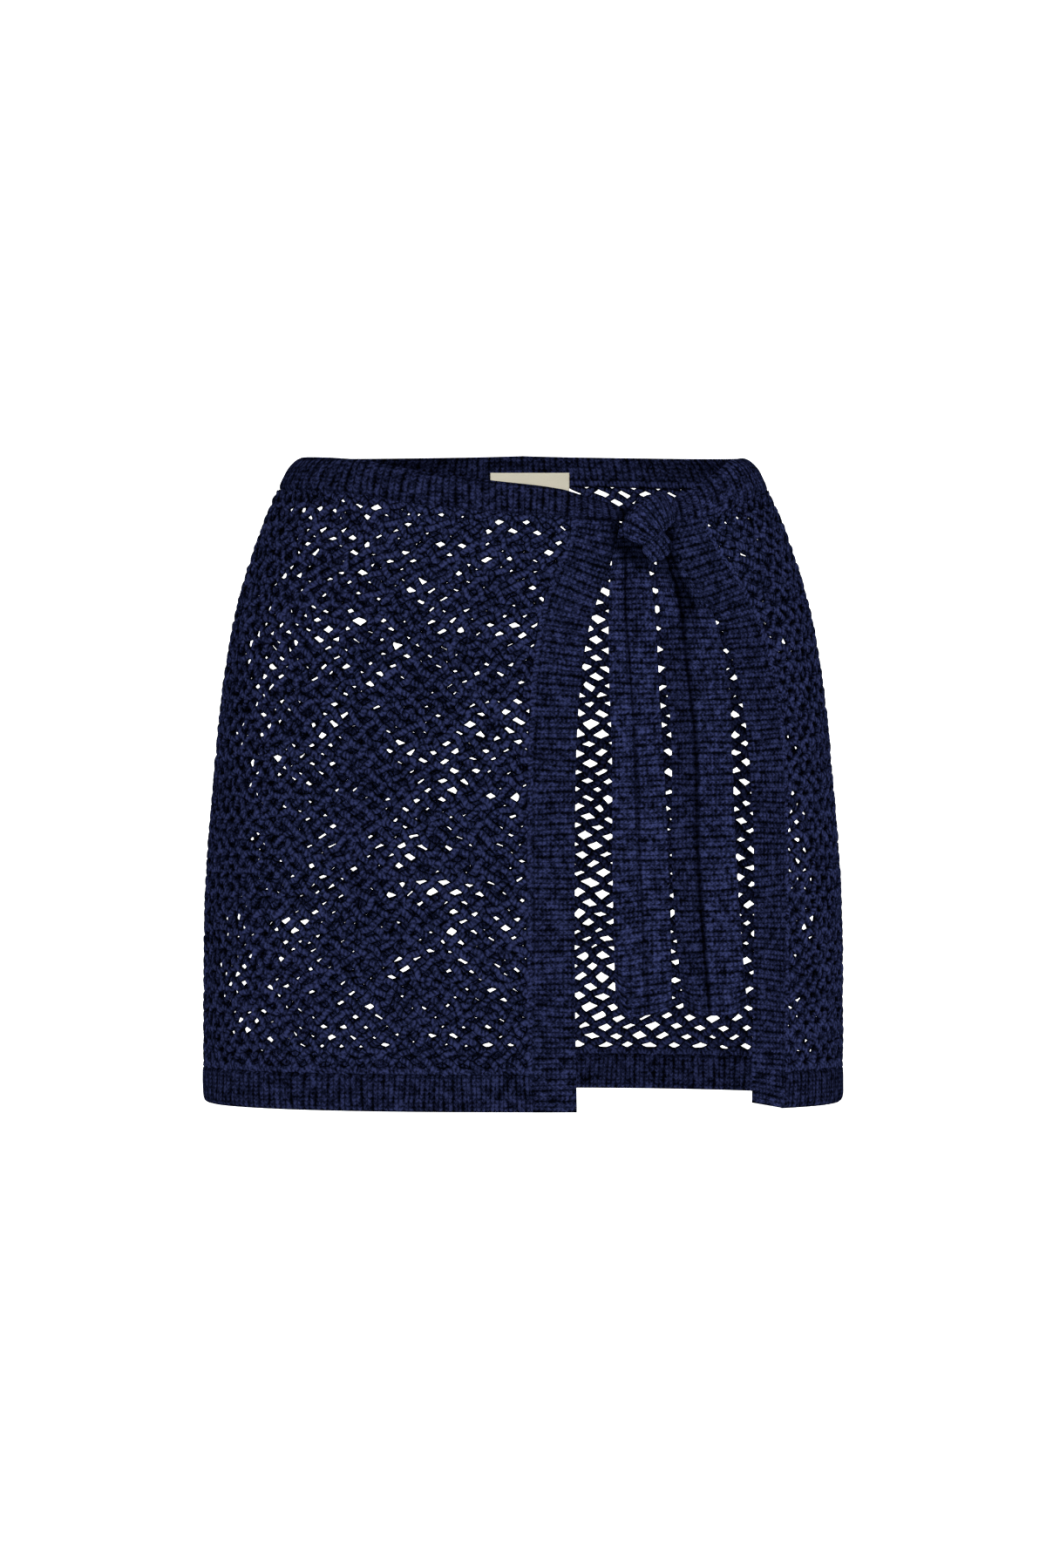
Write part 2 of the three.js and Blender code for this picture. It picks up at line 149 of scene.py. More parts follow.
RIGHT_TAIL = table(
    TAIL_COLUMNS,
    (74, 43, 81, 40, 1, 0, 0.5),
    (75.6, 60, 91, 60, 1, 3, 0.5),
    (76.8, 82, 106, 82, 1, 3, 0.42),
    (80.8, 123, 115.8, 122, 0.8, 3, 0.38),
    (84, 158, 117.8, 157, 0.3, 2.8, 0.4),
    (84.2, 231, 120.9, 231, 0, 2.6, 0.41),
    (90.5, 314.5, 126.5, 313, 0.5, 2.4, 0.42),
)
# An end's foot: how far each corner is drawn up, over which part of the width.
LEFT_TAIL_FOOT = {"left": 13, "left_part": 0.26, "right": 2, "right_part": 0.25}
RIGHT_TAIL_FOOT = {"left": 6, "left_part": 0.35, "right": 5, "right_part": 0.35}
CORNERS_FROM = 0.88
# An end's crease: its width to the left and right, in parts of the end's width, steep on the narrow side,
# and how much painted shade lies beside it at the top and at the foot.
LEFT_TAIL_CREASE = {"left": 0.05, "right": 0.34, "painted_shade_top": 0.35, "painted_shade_foot": 0}
RIGHT_TAIL_CREASE = {"left": 0.34, "right": 0.04, "painted_shade_top": 0.95, "painted_shade_foot": 0.4}
FOLD_COLUMNS = "x down out half_width half_thick"
KNOT_TURN = table(
    FOLD_COLUMNS,
    (86, 23.5, 5, 7, 3.6),
    (78.5, 25.5, 7.4, 9, 5.8),
    (70.5, 29.5, 9.8, 11.2, 7),
    (64, 36.5, 11.2, 10.6, 6.2),
    (60.5, 45, 8.6, 8.2, 4.4),
)
KNOT_LOOP = table(
    FOLD_COLUMNS,
    (79.8, 42, 8.6, 5.2, 2.6),
    (73.5, 47.8, 10, 6.8, 3.8),
    (67.5, 53.5, 9, 4.6, 2.8),
)
LABEL = {"left_x": 28.6, "right_x": -20.1, "top": -6.8, "bottom": 9.2, "thickness": 0.6, "inside": 4.9}
LABEL_THREAD = 0.5

# Cloth. A rib's crest stands out of the face, its groove lies in it. STITCH is one stitch's height, WAVY
# how far a rib wanders, in ribs, and INNER_FACE the value of the painted shade on an inner face, below 0 and
# so paler.
RIB_INSIDE, RIB_CREST, RIB_GROOVE = 3.2, 0.9, -0.2
RIB_PITCH = {"waistband": 8.5, "hem": 6.5, "band": 6, "tie": 6}
STITCH = 2.4
WAVY = 0.16
INNER_FACE = -0.5
# Net: each row of holes is moved on by half a hole. OVER_UNDER is how far a strand goes over and under the
# others, TIGHT_HOLES the number of holes at an edge where strands may be fatter, and LOOSE_TO the row
# down to which they may be thinner.
NET_ROWS = 60
STRAND_HALF_WIDTH = 2.45
STRAND_HALF_DEPTH = 1.8
STRAND_MIDDLE = -1.8
OVER_UNDER = 1.0
ROUNDED_HOLES = 0.055
LEVELS_PER_ROW = 6
TIGHT_HOLES = 12
LOOSE_TO = 2.5


def mix(a, b, t):
    """From a at t = 0 to b at t = 1, in a straight line."""
    return a + (b - a) * t


def read(rows, key, column, at):
    """One column against another: cubic pieces whose slope at a row is that between its neighbours."""
    x, y = rows[key], rows[column]
    k = np.arange(len(x))
    before, after = np.maximum(k - 1, 0), np.minimum(k + 1, len(x) - 1)
    slope = (y[after] - y[before]) / (x[after] - x[before])
    at = np.clip(at, x[0], x[-1])
    i = np.clip(np.searchsorted(x, at), 1, len(x) - 1)
    span = x[i] - x[i - 1]
    t = (at - x[i - 1]) / span
    eased = t * t * (3 - 2 * t)
    bend = t * (1 - t) ** 2 * slope[i - 1] + t * t * (t - 1) * slope[i]
    return mix(y[i - 1], y[i], eased) + span * bend


def row_at(rows, fraction):
    """Every column at a fraction of the length along the rows' middles."""
    if "x" in rows:
        x, down = rows["x"], rows["down"]
    else:
        x = (rows["left_x"] + rows["right_x"]) / 2
        down = (rows["left_down"] + rows["right_down"]) / 2
    gone = np.concatenate([[0], np.cumsum(np.hypot(np.diff(x), np.diff(down)))])
    placed = dict(rows, gone=gone / gone[-1])
    return {column: read(placed, "gone", column, fraction) for column in rows}


def form_point(angle, down, out):
    """Point in metres where |x / half width| and |y / half depth|, each to the power ROUNDNESS, add up
    to one, moved out along the section's normal."""
    angle, down, out = np.broadcast_arrays(angle, down, out)
    across, forward = np.sin(np.radians(angle)), np.cos(np.radians(angle))
    width = read(FORM, "down", "half_width", down)
    depth = np.where(forward > 0, read(FORM, "down", "front", down), read(FORM, "down", "back", down))
    sum_of_powers = np.abs(across / width) ** ROUNDNESS + np.abs(forward / depth) ** ROUNDNESS
    reach = sum_of_powers ** (-1 / ROUNDNESS)
    x, y = reach * across, -reach * forward
    normal_x = np.sign(x) * np.abs(x / width) ** (ROUNDNESS - 1) / width
    normal_y = np.sign(y) * np.abs(y / depth) ** (ROUNDNESS - 1) / depth
    step = out / np.hypot(normal_x, normal_y)
    return np.stack([x + step * normal_x, y + step * normal_y, -down], -1) * MM


def angle_of(x, down, front=True):
    """Angle round the form of the point with this x, on its front or its back."""
    width = read(FORM, "down", "half_width", down)
    depth = read(FORM, "down", "front" if front else "back", down)
    y = depth * (1 - np.abs(x / width) ** ROUNDNESS) ** (1 / ROUNDNESS)
    return np.degrees(np.arctan2(x, y if front else -y))


def round_the_waist(angle):
    """The same angle between -180 and 180."""
    return np.where(angle > 180, angle - 360, angle)


def waistband_top(angle):
    """Height of the waistband's top edge, read off its table."""
    return read(WAISTBAND, "angle", "top", round_the_waist(angle))


def waistband_bottom(angle):
    """Height of the waistband's bottom edge, read off its table."""
    return read(WAISTBAND, "angle", "bottom", round_the_waist(angle))


def level(down):
    """A level edge, as a height for each angle."""
    return lambda angle: np.full_like(angle, down, dtype=float)


def band_edge(rows, side, gap=0):
    """A front band's edge as an angle at each height, moved to the right by the gap."""
    return lambda down: angle_of(read(rows, side + "_down", side + "_x", down) + gap, down)


def upright_edge(angle):
    """An upright edge, as an angle for each height."""
    return lambda down: np.full_like(down, angle, dtype=float)


def panel(left, right, top, bottom):
    """Chart of a panel: (u, v) to (angle, down), between edges that depend on each other, so each point
    is found in a few rounds."""

    def chart(u, v):
        angle = down = np.zeros(np.broadcast(u, v).shape)
        for _ in range(8):
            angle = mix(left(down), right(down), u)
            down = mix(top(angle), bottom(angle), v)
        return angle, down

    return chart


def strip(rows, under_waistband=False, overlap=0):
    """Chart of a strip between two edges, a row of its table for each line across it. A sewn strip laps
    over its neighbours by the overlap, and rises under the waistband by a little more at its very top."""
    RISE, RISE_PER_LENGTH = 1.3, 12

    def chart(u, v):
        row = row_at(rows, v)
        left = band_edge(rows, "left", -overlap)(row["left_down"])
        right = band_edge(rows, "right", overlap)(row["right_down"])
        angle = mix(left, right, u)
        down = mix(row["left_down"], row["right_down"], u)
        if under_waistband:
            rise = RISE * overlap * np.clip(1 - RISE_PER_LENGTH * v, 0, 1)
            down = np.maximum(down, waistband_bottom(angle)) - rise
        return angle, down

    return chart


def smooth_noise(s, t, seed):
    """Random values on a square lattice of side one, eased between its corners, from -1 to 1."""
    SIZE = 256
    lattice = np.random.default_rng(seed).uniform(-1, 1, (SIZE, SIZE))
    i, j = np.floor(s).astype(int), np.floor(t).astype(int)
    a, b = s - i, t - j
    a, b = a * a * (3 - 2 * a), b * b * (3 - 2 * b)

    def corner(di, dj):
        return lattice[(i + di) % SIZE, (j + dj) % SIZE]

    return mix(mix(corner(0, 0), corner(1, 0), a), mix(corner(0, 1), corner(1, 1), a), b)


def add_mesh(name, points, quads, uv, painted_shade=None):
    """Closed quad mesh with a UV pair for each face corner, turned to face outwards. The painted shade, if
    given, darkens each point in folds, creases and the knot's shadow, from 0 to 1, and below 0 paints it
    paler."""
    a, b, c, d = (points[quads[:, k]] for k in range(4))
    volume = (np.cross(b, c) * a).sum() + (np.cross(c, d) * a).sum()
    if volume < 0:
        quads, uv = quads[:, ::-1], uv[:, ::-1]
    mesh = bpy.data.meshes.new(name)
    mesh.vertices.add(len(points))
    mesh.vertices.foreach_set("co", points.astype(np.float32).ravel())
    mesh.loops.add(quads.size)
    mesh.loops.foreach_set("vertex_index", quads.astype(np.int32).ravel())
    mesh.polygons.add(len(quads))
    mesh.polygons.foreach_set("loop_start", np.arange(0, quads.size, 4, dtype=np.int32))
    mesh.polygons.foreach_set("use_smooth", np.ones(len(quads), bool))
    mesh.uv_layers.new(name="knit").data.foreach_set("uv", uv.astype(np.float32).ravel())
    if painted_shade is not None:
        values = painted_shade.astype(np.float32).ravel()
        mesh.attributes.new("painted_shade", "FLOAT", "POINT").data.foreach_set("value", values)
    mesh.update(calc_edges=True)
    mesh.validate()
    piece = bpy.data.objects.new(name, mesh)
    bpy.context.scene.collection.objects.link(piece)
    return piece


def grid_quads(rows, columns, first=0):
    """Corner numbers of a grid's faces, row by row."""
    row, column = np.mgrid[0 : rows - 1, 0 : columns - 1]
    corner = first + row * columns + column
    return np.stack([corner, corner + columns, corner + columns + 1, corner + 1], -1).reshape(-1, 4)


def wall(name, outer, inner, uv, painted_shade=None, inner_painted_shade=INNER_FACE):
    """Closed wall between two grids of points, joined round their rims."""
    rows, columns = outer.shape[:2]
    number = np.arange(rows * columns).reshape(rows, columns)
    rim = np.concatenate([number[0, :-1], number[:-1, -1], number[-1, :0:-1], number[:0:-1, 0]])
    following = np.roll(rim, -1)
    other = rows * columns
    front = grid_quads(rows, columns)
    sides = np.stack([rim, following, following + other, rim + other], -1)
    quads = np.concatenate([front, front[:, ::-1] + other, sides])
    flat_uv = np.concatenate([uv.reshape(-1, 2), uv.reshape(-1, 2)])
    points = np.concatenate([outer.reshape(-1, 3), inner.reshape(-1, 3)])
    # Painted shade of both faces, the inner one given apart.
    if painted_shade is not None:
        painted_shade = np.concatenate([painted_shade.ravel(), np.broadcast_to(inner_painted_shade, painted_shade.shape).ravel()])
    return add_mesh(name, points, quads, flat_uv[quads], painted_shade)


def line_length(points):
    """Sum of the distances between a line's points."""
    return np.linalg.norm(np.diff(points, axis=0), axis=1).sum()


def sizes(chart):
    """Length in metres of the line across the middle of a chart and of the one down it."""
    t = np.linspace(0, 1, 61)
    middle = np.full_like(t, 0.5)
    return line_length(form_point(*chart(t, middle), 0)), line_length(form_point(*chart(middle, t), 0))


def flat_cut(chart):
    """Width, length and area of the cloth in a chart, in metres: its longest lines and the sum of the
    small faces of a grid on it."""
    u, v = np.meshgrid(np.linspace(0, 1, 61), np.linspace(0, 1, 61))
    grid = form_point(*chart(u, v), 0)
    width = np.linalg.norm(np.diff(grid, axis=1), axis=-1).sum(1).max()
    length = np.linalg.norm(np.diff(grid, axis=0), axis=-1).sum(0).max()
    across, along = grid[:-1, 1:] - grid[:-1, :-1], grid[1:, :-1] - grid[:-1, :-1]
    area = np.linalg.norm(np.cross(across, along), axis=-1).sum()
    return float(width), float(length), float(area)


def beside_knot(points):
    """Painted shadow of the knot, deepest under a part of it, falling to 0 a few mm away from it, by the
    distance to its middle line. The knot's turn paints none where it comes out of the waistband."""
    REACH, UNDER, DEEPEST, TURN_FROM = 5, 1.1, 0.85, 0.35
    shadow = 0
    for part, from_row in ((KNOT_TURN, TURN_FROM), (KNOT_LOOP, 0)):
        row = row_at(part, np.linspace(from_row, 1, 15))
        middle = form_point(angle_of(row["x"], row["down"]), row["down"], row["out"] / 2)
        past = np.linalg.norm(points[..., None, :] - middle, axis=-1) / MM - row["half_width"]
        shadow = np.maximum(shadow, np.clip(UNDER - past.min(-1) / REACH, 0, DEEPEST))
    return shadow


def ribbed(name, chart, pitch, upright, lift=None, dip=None, shade=None, step=1.2, inside=None):
    """Ribbed wall over a chart. The face stands out by the root of the sine of the rib's phase, and is
    rounded off at its edges. lift and dip move the whole wall out and in, and shade and inside give the
    painted shade of its outer and its inner face, as functions of (u, v)."""
    POINTS_A_RIB, ROUND_CREST, SLACK = 6, 0.6, 0.25
    EDGE, OUTER_DROP, INNER_DROP, INNER_RIB = 1.6, 1.5, 1.2, 0.5
    lengths = np.array(sizes(chart)) / MM
    run, along = lengths if upright else lengths[::-1]
    ribs = 2 * round(run / pitch / 2)
    steps = max(4, round(along / step))
    columns, rows = (ribs * POINTS_A_RIB, steps) if upright else (steps, ribs * POINTS_A_RIB)
    u, v = np.meshgrid(np.linspace(0, 1, columns + 1), np.linspace(0, 1, rows + 1))
    phase, stitch = (u * ribs, v * along / STITCH) if upright else (v * ribs, u * along / STITCH)
    phase = phase + WAVY * smooth_noise(phase * 0.3 + 50, stitch * 0.12, len(name))
    ridge = np.abs(np.sin(np.pi * phase)) ** ROUND_CREST
    depth = 0.6 + 0.4 * smooth_noise(phase * 0.8 + 20, stitch * 0.25, len(name) + 1)
    ridge = 1 - (1 - ridge) * depth
    slack = smooth_noise(phase * 0.7, stitch * 0.3, len(name)) * SLACK
    to_edge = np.minimum(np.minimum(u, 1 - u) * lengths[0], np.minimum(v, 1 - v) * lengths[1])
    rounding = 1 - np.clip(to_edge / EDGE, 0, 1) ** 0.5
    shift = (lift(u, v) if lift else 0) - (dip(u, v) if dip else 0)
    outer = mix(RIB_GROOVE, RIB_CREST, ridge) + slack - OUTER_DROP * rounding
    inner = -RIB_INSIDE + INNER_RIB * ridge - slack + INNER_DROP * rounding
    angle, down = chart(u, v)
    uv = np.stack([phase, stitch], -1)
    face, back = form_point(angle, down, outer + shift), form_point(angle, down, inner + shift)
    # Painted shade of the outer face: the knot's painted shadow or the given shade, whichever is darker.
    painted_shade = np.maximum(beside_knot(face), shade(u, v) if shade else 0)
    return wall(name, face, back, uv, painted_shade, inside(u, v) if inside else INNER_FACE)


def tube(path, outwards, thick, sides, turns, length_unit):
    """Oval tube along a path with closed ends: points, faces and UV pairs (turn, length)."""
    along = np.gradient(path, axis=0)
    along /= np.linalg.norm(along, axis=1, keepdims=True)
    side = np.cross(along, outwards)
    side /= np.linalg.norm(side, axis=1, keepdims=True)
    up = np.cross(side, along)
    turn = 2 * np.pi * np.arange(sides) / sides
    wide, deep = STRAND_HALF_WIDTH * MM * np.cos(turn), STRAND_HALF_DEPTH * MM * np.sin(turn)
    ring = wide[:, None] * side[:, None] + deep[:, None] * up[:, None]
    points = (path[:, None] + np.reshape(thick, (-1, 1, 1)) * ring).reshape(-1, 3)
    step, k = (x.ravel() for x in np.mgrid[0 : len(path) - 1, 0:sides])
    corners = [(step, k), (step + 1, k), (step + 1, k + 1), (step, k + 1)]
    quads = np.stack([i * sides + j % sides for i, j in corners], -1)
    gone = np.concatenate([[0], np.cumsum(np.linalg.norm(np.diff(path, axis=0), axis=1))]) / length_unit
    uv = np.stack([np.stack([turns * j / sides, gone[i]], -1) for i, j in corners], 1)
    last = (len(path) - 1) * sides
    caps = np.array([[0, 1, 2, 3], [0, 3, 4, 5], [3, 2, 1, 0], [5, 4, 3, 0]])
    caps[2:] += last
    return points, np.concatenate([quads, caps]), np.concatenate([uv, np.zeros((4, 4, 2))])


def join(parts):
    """Points, faces and UV pairs of many meshes as one."""
    points, quads, uv = zip(*parts)
    first = np.cumsum([0] + [len(p) for p in points[:-1]])
    moved = [q + f for q, f in zip(quads, first)]
    return np.concatenate(points), np.concatenate(moved), np.concatenate(uv)


def lines_across(chart, v):
    """Places u and, for the chart's line across at each v, their distances in mm from its left end."""
    u = np.linspace(0, 1, 161)
    grid = form_point(*chart(u[None], v[:, None]), 0) / MM
    steps = np.linalg.norm(np.diff(grid, axis=1), axis=-1)
    return u, np.concatenate([np.zeros((len(v), 1)), np.cumsum(steps, 1)], 1)


def net_cord(chart, u, v, deeper=0):
    """Cord along a line of the net's chart, lying deeper in the cloth by so many mm."""
    angle, down = chart(u, v)
    path = form_point(angle, down, STRAND_MIDDLE - deeper)
    outwards = form_point(angle, down, STRAND_MIDDLE - deeper + 1) - path
    thick = 1 + 0.12 * smooth_noise(np.arange(len(u)) * 0.31, np.full(len(u), 3.0), 9)
    return tube(path, outwards, thick, 6, 1, STITCH * MM)


def edge_cords(chart, top_inset):
    """Cords along the four edges of a net, where it joins its bands, each half a cord in from the edge. The
    top one goes in by its own share of that, and lies deeper, behind the waistband."""
    TOP_DEEPER, CORD_STEP = 1.6, 1.6
    run = np.linspace(0, 1, 181)
    u, gone = lines_across(chart, run)
    width = gone[:, -1]
    half_cord = STRAND_HALF_WIDTH * 0.8
    left = np.array([np.interp(half_cord, gone[k], u) for k in range(len(run))])
    right = np.array([np.interp(width[k] - half_cord, gone[k], u) for k in range(len(run))])
    along = np.linspace(0, 1, int(width.mean() / CORD_STEP))
    angle, top = chart(along, np.zeros_like(along))
    angle, bottom = chart(along, np.ones_like(along))
    inset = half_cord / (bottom - top)
    return [
        net_cord(chart, left, run),
        net_cord(chart, right, run),
        net_cord(chart, along, inset * top_inset, TOP_DEEPER),
        net_cord(chart, along, 1 - inset),
    ]


def net_strands(chart, lean, from_right, pitch, shear, fatness, tighter, loose_rows, uneven_by, seed):
    """One family of the net's slanting strands. A strand's distance from the reference edge, counted in
    holes, grows or shrinks by half a hole a row, with the shear added, and it weaves in and out by the
    cosine of the row. Its fatness goes from one value at the top to another at the foot, up and down
    along it, is more by the part called tighter in the first holes from the reference edge, and is less
    in the top rows."""
    levels = NET_ROWS * LEVELS_PER_ROW + 1
    v = np.linspace(0, 1, levels)
    u, gone = lines_across(chart, v)
    width = gone[:, -1]
    row = v * NET_ROWS
    most = width.max() / pitch + NET_ROWS / 2
    start = np.arange(-math.ceil(NET_ROWS / 2) - 5, math.ceil(most) + 2) + 0.5
    hole = start[None] + lean * (row[:, None] / 2 - ROUNDED_HOLES * np.sin(2 * np.pi * row[:, None]))
    hole = hole + shear * row[:, None]
    level = row[:, None] + hole * 0

    def uneven(fine, coarse, fine_start, coarse_start, first_seed):
        """Noise in patches of about one hole, and in patches of a few holes."""
        small = smooth_noise(hole * 1.3 + fine_start, level * 0.65, first_seed)
        large = smooth_noise(hole * 0.4 + coarse_start, level * 0.22, first_seed + 1)
        return fine * uneven_by * small + coarse * large

    uneven_row = uneven(0.3, 0.2, 90, 30, seed + 2)
    uneven_row *= np.clip(np.minimum(level, NET_ROWS - level) / 3, 0, 1)
    away = (hole + uneven(0.14, 0.16, 40, 70, seed)) * pitch
    level_of = np.clip(row[:, None] + uneven_row, 0, NET_ROWS) / NET_ROWS
    inside = (away > 0) & (away < width[:, None])
    reached = width[:, None] - away if from_right else away
    at_u = np.stack([np.interp(reached[k], gone[k], u) for k in range(levels)])
    angle, down = chart(at_u, level_of)
    weave = lean * OVER_UNDER * np.cos(np.pi * row)[:, None]
    path = form_point(angle, down, STRAND_MIDDLE + weave)
    outwards = form_point(angle, down, STRAND_MIDDLE + weave + 1) - path
    thick = 1 + 0.16 * smooth_noise(hole * 2 + 10, level * 0.9, seed + 4)
    thick += tighter * np.clip(TIGHT_HOLES - hole, 0, 1) - loose_rows * np.clip(LOOSE_TO - level, 0, 1)
    thick = thick * mix(*fatness, v[:, None])
    parts = []
    for k in range(len(start)):
        kept = np.flatnonzero(inside[:, k])
        if len(kept) > LEVELS_PER_ROW // 2:
            run = slice(kept[0], kept[-1] + 1)
            parts.append(tube(path[run, k], outwards[run, k], thick[run, k], 6, 1, STITCH * MM))
    return parts


def fold(rows, pitch=4.5):
    """Fat fold of cloth: a flat rounded section carried along a line over the form, with blunt ends and
    ribs across it."""
    SIDES, SQUARE, BLUNT, SWELL = 36, 2.6, 6, 0.8

    def centre(t):
        row = row_at(rows, t)
        return form_point(angle_of(row["x"], row["down"]), row["down"], row["out"])

    length = line_length(centre(np.linspace(0, 1, 40))) / MM
    ribs = max(3, round(length / pitch))
    t = np.linspace(0, 1, ribs * 8 + 1)[1:-1]
    row = row_at(rows, t)
    middle = centre(t)
    along = centre(np.minimum(t + 0.01, 1)) - centre(np.maximum(t - 0.01, 0))
    along /= np.linalg.norm(along, axis=1, keepdims=True)
    outwards = form_point(angle_of(row["x"], row["down"]), row["down"], row["out"] + 1) - middle
    across = np.cross(along, outwards)
    across /= np.linalg.norm(across, axis=1, keepdims=True)
    upright = np.cross(across, along)
    closing = (1 - np.abs(2 * t - 1) ** BLUNT) ** 0.5
    swell = SWELL * np.abs(np.sin(np.pi * t * ribs)) ** 0.6
    turn = 2 * np.pi * np.arange(SIDES) / SIDES
    round_x = np.sign(np.cos(turn)) * np.abs(np.cos(turn)) ** (2 / SQUARE)
    round_y = np.sign(np.sin(turn)) * np.abs(np.sin(turn)) ** (2 / SQUARE)
    wide = (closing * (row["half_width"] + swell) * MM)[:, None] * round_x
    deep = (closing * (row["half_thick"] + swell) * MM)[:, None] * round_y
    rings = middle[:, None] + wide[..., None] * across[:, None] + deep[..., None] * upright[:, None]
    outside = round_y * np.sign((upright * outwards).sum(-1).mean())
    # Painted shade: none on the face turned outwards, dark on the rim and on the face towards the form.
    painted_shade = np.clip(0.9 - 1.5 * outside, 0, 1) + np.zeros((len(t), 1))
    return rings, t * ribs, painted_shade


def add_fold(name, rows):
    """The fold's rings as a mesh, each end drawn together by a fan of narrow faces. GIRTH is about what the
    rings measure round, so that stitches get their size."""
    GIRTH = 60
    rings, phase, painted_shade = fold(rows)
    count, sides = rings.shape[:2]
    step, k = (x.ravel() for x in np.mgrid[0 : count - 1, 0:sides])
    corners = [(step, k), (step + 1, k), (step + 1, k + 1), (step, k + 1)]
    quads = np.stack([i * sides + j % sides for i, j in corners], -1)
    uv = np.stack([np.stack([phase[i], GIRTH / STITCH * j / sides], -1) for i, j in corners], 1)
    points = np.concatenate([rings.reshape(-1, 3), rings[0].mean(0)[None], rings[-1].mean(0)[None]])
    start, end = count * sides, count * sides + 1
    k = np.arange(0, sides, 2)
    last = (count - 1) * sides
    first_cap = np.stack([np.full_like(k, start), k, k + 1, (k + 2) % sides], -1)
    last_cap = np.stack([np.full_like(k, end), last + (k + 2) % sides, last + k + 1, last + k], -1)
    caps = np.concatenate([first_cap, last_cap])
    cap_uv = np.zeros((len(caps), 4, 2))
    # The ends' middles get full painted shade.
    all_painted_shade = np.concatenate([painted_shade.ravel(), [1, 1]])
    return add_mesh(name, points, np.concatenate([quads, caps]), np.concatenate([uv, cap_uv]), all_painted_shade)


class Wire:
    """A shader socket whose sums, products and powers add Math nodes."""

    def __init__(self, finish, socket):
        self.finish, self.socket = finish, socket

    def math(self, operation, *others, first=None):
        values = [first if first is not None else self, *others]
        return self.finish.node("ShaderNodeMath", {"operation": operation}, dict(enumerate(values)))

    def __add__(self, other):
        return self.math("ADD", other)

    def __radd__(self, other):
        return self.math("ADD", other)

    def __sub__(self, other):
        return self.math("SUBTRACT", other)

    def __rsub__(self, other):
        return self.math("SUBTRACT", self, first=other)

    def __mul__(self, other):
        return self.math("MULTIPLY", other)

    def __rmul__(self, other):
        return self.math("MULTIPLY", other)

    def __pow__(self, other):
        return self.math("POWER", other)

    def sine(self):
        return self.math("SINE")

    def size(self):
        return self.math("ABSOLUTE")

    def part(self):
        return self.math("FRACT")

    def scaled(self, factor):
        return self.finish.node("ShaderNodeVectorMath", {"operation": "SCALE"}, {0: self, "Scale": factor})

    def clamped(self):
        return self.finish.node("ShaderNodeClamp", {}, {0: self})


class Finish:
    """A material in the making, with its shader and one method for every other node."""

    def __init__(self, name):
        self.material = bpy.data.materials.new(name)
        self.material.use_nodes = True
        self.tree = self.material.node_tree
        self.shader = self.tree.nodes["Principled BSDF"]

    def node(self, kind, settings, sockets, output=0):
        made = self.tree.nodes.new(kind)
        for name, value in settings.items():
            setattr(made, name, value)
        for key, value in sockets.items():
            self.put(made.inputs[key], value)
        return Wire(self, made.outputs[output])

    def put(self, socket, value):
        if isinstance(value, Wire):
            self.tree.links.new(value.socket, socket)
        else:
            socket.default_value = value

    def set(self, **sockets):
        for name, value in sockets.items():
            self.put(self.shader.inputs[name.replace("_", " ")], value)

    def uv(self):
        """The two values of the piece's own UV map."""
        both = self.node("ShaderNodeUVMap", {"uv_map": "knit"}, {})
        return [self.node("ShaderNodeSeparateXYZ", {}, {0: both}, axis) for axis in (0, 1)]

    def place(self):
        return self.node("ShaderNodeTexCoord", {}, {}, "Object")

    def noise(self, scale, detail=2, roughness=0.5):
        settings = {"Vector": self.place(), "Scale": scale, "Detail": detail, "Roughness": roughness}
        return self.node("ShaderNodeTexNoise", {}, settings)

    def blend(self, mask, a, b):
        """Colour a where the mask is 0 and b where it is 1."""
        return self.node("ShaderNodeMix", {"data_type": "RGBA"}, {0: mask, 6: a, 7: b}, 2)

    def bump(self, height, distance, strength=1.0):
        return self.node("ShaderNodeBump", {}, {"Height": height, "Distance": distance, "Strength": strength})


def rgba(red, green, blue):
    return (red, green, blue, 1)


def yarn(finish, stitch_relief, painted_brightness):
    """Navy yarn: its tone is the stitch relief, as painted shade where low and painted highlight where high,
    with uneven dye and fuzz, and runs from the dark tint through the deep one to the light one, all scaled by
    the piece's painted brightness. The painted shade attribute takes away up to nine tenths of it."""
    dark, deep, light = (rgba(*(painted_brightness * value for value in tint)) for tint in NAVY)
    dye = finish.noise(220, 3) - 0.5
    fuzz = finish.noise(520, 3, 0.75) - 0.5
    tone = (stitch_relief * 0.85 + fuzz * 2.6 + dye * 1.6 - 0.04).clamped()
    shade = finish.blend((tone * 2).clamped(), dark, deep)
    colour = finish.blend((tone * 2 - 1).clamped(), shade, light)
    # Painted shade: the mesh's painted shade attribute darkens the colour by up to nine tenths.
    painted_shade = finish.node("ShaderNodeAttribute", {"attribute_name": "painted_shade"}, {}, "Fac")
    colour = colour.scaled(1 - painted_shade * 0.9)
    relief = stitch_relief + fuzz
    finish.set(Base_Color=colour, Roughness=0.9, Normal=finish.bump(relief, 0.0008, 0.8))
    finish.set(Specular_IOR_Level=0.0)
    return finish.material


def rib_yarn(name, painted_brightness):
    """Ribbed knit, two columns of stitches to a rib. A stitch's legs lean to both sides of its column,
    in a V. Where the knit lies low its colour is darker, as painted shade: the groove between ribs is dark,
    and the line between the two columns and the gaps between the legs are fainter."""
    finish = Finish(name)
    phase, stitch = finish.uv()
    across = ((phase * 2).part() - 0.5).size()
    legs = ((stitch + across * 1.1) * (2 * math.pi)).sine() * 0.5 + 0.5
    column = (1 - (across * 2) ** 3).clamped()
    crest = (1 - ((phase.part() - 0.5).size() * 2) ** 3).clamped()
    return yarn(finish, column * (legs * 0.45 + crest * 0.3) + crest * 0.25, painted_brightness)


